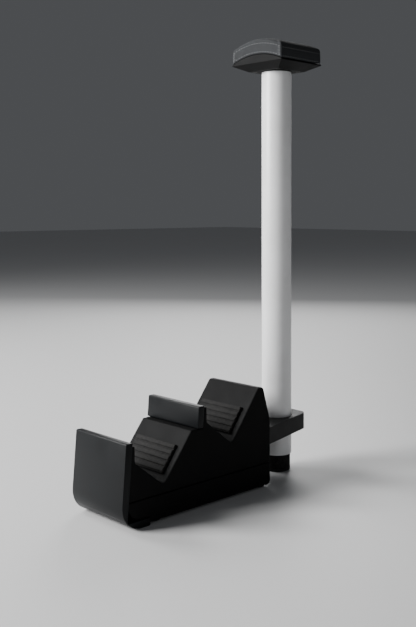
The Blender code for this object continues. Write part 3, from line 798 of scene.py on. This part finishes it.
# %% Set screw in the arm
SOCKET_R = 0.0010
SOCKET_FLOOR = -0.0020
SOCKET_TAPER = 0.97
SOCKET_LIP = 0.0001
SOCKET_MOUTH = 1.2
GRUB_CHAMFER = 0.0003
GRUB_PITCH = 0.0006
GRUB_SIDES = 36
low, high = (Vector(corner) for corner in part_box("pole_set_screw"))
grub_r = (high.x - low.x) / 2
grub = [(0, SOCKET_FLOOR), (SOCKET_R * SOCKET_TAPER, SOCKET_FLOOR)]
grub += [(SOCKET_R, -SOCKET_LIP), (SOCKET_R * SOCKET_MOUTH, 0)]
grub += [(grub_r - GRUB_CHAMFER, 0), (grub_r, -GRUB_CHAMFER)]
grub += thread(grub_r, -GRUB_CHAMFER, low.y - high.y, GRUB_PITCH)
work = spun(grub, GRUB_SIDES)
shape_drive(work, SOCKET_R, SOCKET_FLOOR, hexagon)
middle = (low + high) / 2
face_back = Matrix.Rotation(math.radians(-90), 4, "X")
outwards = Matrix.Translation((middle.x, high.y, middle.z)) @ face_back
make_piece("arm_set_screw", placed(work, outwards), "black_screw", ["pole_set_screw"])

# %% [markdown]
# ## Sprung contacts
#
# Each cradle has a small block that springs out of its floor, with two gold pins. The pins are
# domed so that a controller slides over them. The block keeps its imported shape, and a bevel
# takes the sharpness off. Both ride on the sliding body, so they press in together. A pin's
# place is given in its cradle: the vee's lowest line, then a turn to the floor's slope.


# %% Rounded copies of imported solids
SHARP_FOLD = math.radians(30)
EASED_STEPS = 2
BLOCK_EASE = 0.00025
FINE_EASE = 0.00015


def eased(node, width):
    """A merged copy of a node's mesh with its sharp edges rounded."""
    work = bmesh.new()
    work.from_mesh(frame["nodes"][node].data)
    bmesh.ops.remove_doubles(work, verts=work.verts, dist=1e-6)
    bmesh.ops.dissolve_limit(
        work, angle_limit=math.radians(1), verts=work.verts, edges=work.edges)

    def folded(edge):
        return len(edge.link_faces) == 2 and edge.calc_face_angle() > SHARP_FOLD

    round_edges(work, folded, width, EASED_STEPS)
    return work


# %% Contact blocks, pins and grips
PIN_R = 0.0008
PIN_X = 0.0030
PIN_FOOT = -0.0051
PIN_TOP = 0.0042
PIN_CHAMFER = 0.3
PIN_SIDES = 24
CONTACT_Y = -0.0110
CRADLE_TILT = math.radians(-38)
VEES = {"front": (-0.060, 0.0219), "rear": (0.0, 0.0366)}
pin_outline = [(0, PIN_FOOT), (PIN_R * (1 - PIN_CHAMFER), PIN_FOOT)]
pin_outline.append((PIN_R, PIN_FOOT + PIN_R * PIN_CHAMFER))
for step in range(DOME_STEPS):
    angle = math.radians(STEP_ANGLE * step)
    pin_outline.append((PIN_R * math.cos(angle), PIN_TOP - PIN_R * (1 - math.sin(angle))))
pin_outline.append((0, PIN_TOP))
for side, vee in VEES.items():
    body = f"{side}_contact"
    cradle = Matrix.Translation((0, *vee)) @ Matrix.Rotation(CRADLE_TILT, 4, "X")
    make_piece(
        f"contact_slider_{side}", eased(f"contact_block_{side}", BLOCK_EASE), "black_moulding",
        [f"contact_block_{side}"], body)
    for number, x in enumerate((-PIN_X, PIN_X), 1):
        pin = spun(pin_outline, PIN_SIDES)
        make_piece(
            f"domed_pin_{side}_{number}",
            placed(pin, cradle @ Matrix.Translation((x, CONTACT_Y, 0))), "gold_contact",
            [f"contact_pin_{side}_{number}"], body)
    make_piece(
        f"cradle_grip_{side}", eased(f"cradle_pad_{side}", FINE_EASE), "black_rubber",
        [f"cradle_pad_{side}"])
make_piece("inlet_shell", eased("usb_inlet", FINE_EASE), "zinc_steel", ["usb_inlet"])

# %% [markdown]
# ## The sewn saddle pad
#
# The pad is foam under cloth, arched over the bracket. Its top is one panel and its sides are a
# strip, with topstitching below the top seam, along the lower edge and in a double row at each
# corner. It starts as a cube, cut into a grid on every side. The upper edges are rounded and the
# lower ones, which are pulled tight over the board, are squarer. Cloth simulation then
# inflates it while the stitched lines are pinned, so that the cloth swells between the seams
# as real padding does. Sculpting the swell by hand would take longer and look more even.

# %% The pad's measures
pad_low, pad_high = (Vector(corner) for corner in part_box("saddle_pad"))
PAD_X = (pad_high.x - pad_low.x) / 2
PAD_Y = (pad_high.y - pad_low.y) / 2
PAD_AXIS_Y = (pad_high.y + pad_low.y) / 2
# An arch is a radius and the height of its centre.
LOWER_ARCH = (0.0596, 0.2466)
UPPER_ARCH = (0.0593, 0.2579)
PAD_THICK = UPPER_ARCH[0] + UPPER_ARCH[1] - LOWER_ARCH[0] - LOWER_ARCH[1]
EDGE_R = 0.0017
SQUARENESS = 5
# The seam and the hem are heights on the flat pad, and a corner's seams are insets from its end.
SEAM = PAD_THICK - 0.0034
HEM = 0.0012
CORNER_SEAMS = (0.0015, 0.0029)
# The pocket for the board: half its width, half its depth, and how far up it goes.
POCKET = (0.0213, 0.0191, 0.0021)
CUTS = (47, 43, 13)
SWELL = 0.0009
BIG = 20.0
print("pad", round(2000 * PAD_X, 1), "x", round(2000 * PAD_Y, 1), "x", round(1000 * PAD_THICK, 1))


def arched(x, y, up):
    """Bend a point of the flat pad over the bracket: up runs from 0 to the pad's thickness."""
    low = LOWER_ARCH[1] + math.sqrt(LOWER_ARCH[0] ** 2 - x * x)
    high = UPPER_ARCH[1] + math.sqrt(UPPER_ARCH[0] ** 2 - x * x)
    return Vector((x, PAD_AXIS_Y + y, low + (high - low) * up / PAD_THICK))


# %% The blank: a cube cut into a grid and rounded
CROWDING = 0.28


def denser(share):
    """Move evenly spaced lines from -1 to 1 closer together near the ends."""
    return share * (1 + CROWDING - CROWDING * share * share)


def flat_blank():
    """The pad before it is bent: a cut cube whose edges are pulled in to a rounded box."""
    work = bmesh.new()
    bmesh.ops.create_cube(work, size=2)
    for axis, cuts in enumerate(CUTS):
        edges = [edge for edge in work.edges
                 if abs(edge.verts[0].co[axis] - edge.verts[1].co[axis]) > 1.9]
        bmesh.ops.subdivide_edges(work, edges=edges, cuts=cuts, use_grid_fill=True)
    half = Vector((PAD_X, PAD_Y, PAD_THICK / 2))
    for corner in work.verts:
        point = Vector(denser(share) * side for share, side in zip(corner.co, half))
        core = Vector(
            max(EDGE_R - side, min(side - EDGE_R, value)) for value, side in zip(point, half))
        offset = point - core
        reach = offset.length
        if point.z < 0:
            sideways = math.hypot(offset.x, offset.y) ** SQUARENESS
            reach = (sideways + abs(offset.z) ** SQUARENESS) ** (1 / SQUARENESS)
        if reach > 1e-9:
            point = core + offset * (EDGE_R / reach)
        corner.co = point + Vector((0, 0, PAD_THICK / 2))
    return work


blank = flat_blank()
end_wall = [corner for corner in blank.verts if abs(corner.co.x) > PAD_X - 1e-5]
levels = sorted({round(corner.co.z, 6) for corner in end_wall})
nearest = {target: min(levels, key=lambda level: abs(level - target)) for target in (SEAM, HEM)}
print("blank", len(blank.verts), "points; seam rows at", nearest)

# %% [markdown]
# ## Stitched lines and the foam's hollow
#
# The rows of the grid that lie nearest to the seam and the hem are moved onto them and pinned,
# and so is everything below the hem, where the cloth is stapled to the board. The underside is
# raised inside its rim to leave room for that board. Then every point is bent over the arch.

# %% Which points are stitched down
WALL_DEPTH = 0.0004
STAPLED = HEM * 0.8
stitched = []
for corner in blank.verts:
    x, y, up = corner.co
    on_wall = abs(x) > PAD_X - WALL_DEPTH or abs(y) > PAD_Y - WALL_DEPTH
    for target, level in nearest.items():
        if on_wall and abs(up - level) < 1e-5:
            corner.co.z = target
            stitched.append(corner.index)
    if up < STAPLED:
        stitched.append(corner.index)
    if up < 1e-6 and abs(x) < POCKET[0] and abs(y) < POCKET[1]:
        corner.co.z = POCKET[2]
    corner.co = arched(*corner.co) * BIG
stitched = sorted(set(stitched))
print(len(stitched), "points are pinned")

# %% [markdown]
# ## Inflating
#
# The cloth's stiffness, mass and pressure are set for things about a metre wide, so the pad is
# simulated at twenty times its size and shrunk afterwards. Gravity is off, and the pressure only
# has to find the shape: the swell is scaled to under a millimetre later.

# %% Inflate it
LAST_MOMENT = 20
cushion_mesh = bpy.data.meshes.new("saddle_cushion")
bmesh.ops.recalc_face_normals(blank, faces=blank.faces)
blank.to_mesh(cushion_mesh)
blank.free()
cushion = bpy.data.objects.new("saddle_cushion", cushion_mesh)
bpy.context.scene.collection.objects.link(cushion)
before = [corner.co.copy() for corner in cushion_mesh.vertices]
pins = cushion.vertex_groups.new(name="stitched")
pins.add(stitched, 1.0, "REPLACE")
cloth = cushion.modifiers.new("inflate", "CLOTH")
cloth.settings.quality = 8
cloth.settings.mass = 0.3
cloth.settings.tension_stiffness = 18
cloth.settings.compression_stiffness = 12
cloth.settings.shear_stiffness = 8
cloth.settings.bending_stiffness = 0.6
cloth.settings.use_pressure = True
cloth.settings.uniform_pressure_force = 4.5
cloth.settings.effector_weights.gravity = 0
cloth.settings.vertex_group_mass = "stitched"
for moment in range(1, LAST_MOMENT + 1):
    bpy.context.scene.frame_set(moment)
solved = cushion.evaluated_get(bpy.context.evaluated_depsgraph_get())
after = [corner.co.copy() for corner in solved.data.vertices]
cushion.modifiers.clear()
cushion.vertex_groups.clear()
bpy.context.scene.frame_set(1)

# %% Back to its real size, with small creases
# A crease is a noise's lumps to the metre and its height.
SLOW_CREASE = (260, 0.00010)
FINE_CREASE = (700, 0.00005)
largest = max((new - old).length for old, new in zip(before, after)) / BIG
calm = min(1.0, SWELL / max(largest, 1e-9))
for corner, old, new in zip(cushion_mesh.vertices, before, after):
    old = old / BIG
    move = (new / BIG - old) * calm
    slow = noise.noise(old * SLOW_CREASE[0]) * SLOW_CREASE[1]
    crease = slow + noise.noise(old * FINE_CREASE[0]) * FINE_CREASE[1]
    corner.co = old + move + corner.normal * crease
print("the cloth moved", round(largest * 1000, 2), "mm at most, scaled to", SWELL * 1000)
cushion_mesh.shade_smooth()
cushion_mesh.materials.append(SLOTS["grey_fabric"])
finer = cushion.modifiers.new("finer", "SUBSURF")
finer.levels = 1
finer.render_levels = 1
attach(cushion, "stand")
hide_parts("saddle_pad")

# %% [markdown]
# ## Topstitching
#
# A stitch is a short thread that rises from the cloth and dives back, so at this size it is a
# grain of rice half sunk in the surface. `lay_stitch` finds the swollen surface with a ray and
# lays one small ball there, stretched along the seam.

# %% Find the cloth and lay a stitch
bpy.context.view_layer.update()
cloth_surface = BVHTree.FromObject(cushion, bpy.context.evaluated_depsgraph_get())
STITCH_PITCH = 0.0026
STITCH_SIZE = (0.00095, 0.00024, 0.00024)
RAY_START = 0.004


def lay_stitch(work, spot, outward, heading):
    """Lay one stitch where a ray from outside the pad meets the cloth."""
    place, normal, _, _ = cloth_surface.ray_cast(spot + outward * RAY_START, -outward)
    if place is None:
        return
    along = (heading - normal * heading.dot(normal)).normalized()
    basis = Matrix((along, normal.cross(along), normal)).transposed().to_4x4()
    grow = Matrix.Diagonal((*STITCH_SIZE, 1.0))
    bmesh.ops.create_icosphere(
        work, subdivisions=1, radius=1.0, matrix=Matrix.Translation(place) @ basis @ grow)


def wall_point(side, travel, up):
    """A point on a side wall: travel runs along the wall in metres from its middle."""
    if side in ("front", "back"):
        return arched(travel, -PAD_Y if side == "front" else PAD_Y, up)
    return arched(-PAD_X if side == "left" else PAD_X, travel, up)


OUTWARD = {
    "front": Vector((0, -1, 0)), "back": Vector((0, 1, 0)),
    "left": Vector((-1, 0, 0)), "right": Vector((1, 0, 0)),
}


# %% Rows along the walls and up the corners
def spaced(low, high, pitch):
    """Evenly spaced places from low to high."""
    count = max(1, round((high - low) / pitch))
    return [low + (high - low) * step / count for step in range(count + 1)]


ROW_END = 0.0022
HEM_ROW = HEM + 0.0002
CORNER_ROW = (HEM + 0.0014, SEAM - 0.0012)
CORNER_PITCH = 0.0022
AHEAD = 0.0001
UPWARD = Vector((0, 0, 1))
stitches = bmesh.new()
for side, outward in OUTWARD.items():
    half = PAD_X if side in ("front", "back") else PAD_Y
    for up in (SEAM, HEM_ROW):
        for travel in spaced(-half + ROW_END, half - ROW_END, STITCH_PITCH):
            here = wall_point(side, travel, up)
            ahead = wall_point(side, travel + AHEAD, up)
            lay_stitch(stitches, here, outward, ahead - here)
    if side in ("front", "back"):
        for inset in CORNER_SEAMS:
            for travel in (inset - half, half - inset):
                for up in spaced(*CORNER_ROW, CORNER_PITCH):
                    lay_stitch(stitches, wall_point(side, travel, up), outward, UPWARD)
make_piece(
    "pad_topstitching", stitches, "grey_fabric", material=pale_thread(), merge=1e-9)

# %% [markdown]
# ## Floor
#
# A plain pale floor, wide enough that its edge is far behind the stand.

# %% Floor
FLOOR_REACH = 6.0
FLOOR_GREY = (0.62, 0.62, 0.62, 1.0)
ground = bmesh.new()
bmesh.ops.create_grid(ground, x_segments=1, y_segments=1, size=FLOOR_REACH)
ground_mesh = bpy.data.meshes.new("floor")
ground.to_mesh(ground_mesh)
ground.free()
floor = bpy.data.objects.new("floor", ground_mesh)
bpy.context.scene.collection.objects.link(floor)
paint = Finish("pale_floor", Base_Color=FLOOR_GREY, Roughness=0.6)
paint.feed("Roughness", paint.noise(3.0, detail=2) * 0.10 + 0.5)
floor.data.materials.append(paint.material)
floor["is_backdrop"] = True
print("the floor is", 2 * FLOOR_REACH, "m wide")

# %% [markdown]
# ## Measure
#
# The looks have to stay in the imported solids' box, but for a little cloth. Both boxes are
# measured, and how far the looks reach past each corner is printed.

# %% Measure and finish
bpy.context.view_layer.update()
seen_low, seen_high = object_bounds()
past_high = [round(1000 * side, 2) for side in Vector(seen_high) - Vector(cad_high)]
past_low = [round(1000 * side, 2) for side in Vector(cad_low) - Vector(seen_low)]
print("the looks reach", past_high, "mm past the high corner and", past_low, "past the low one")
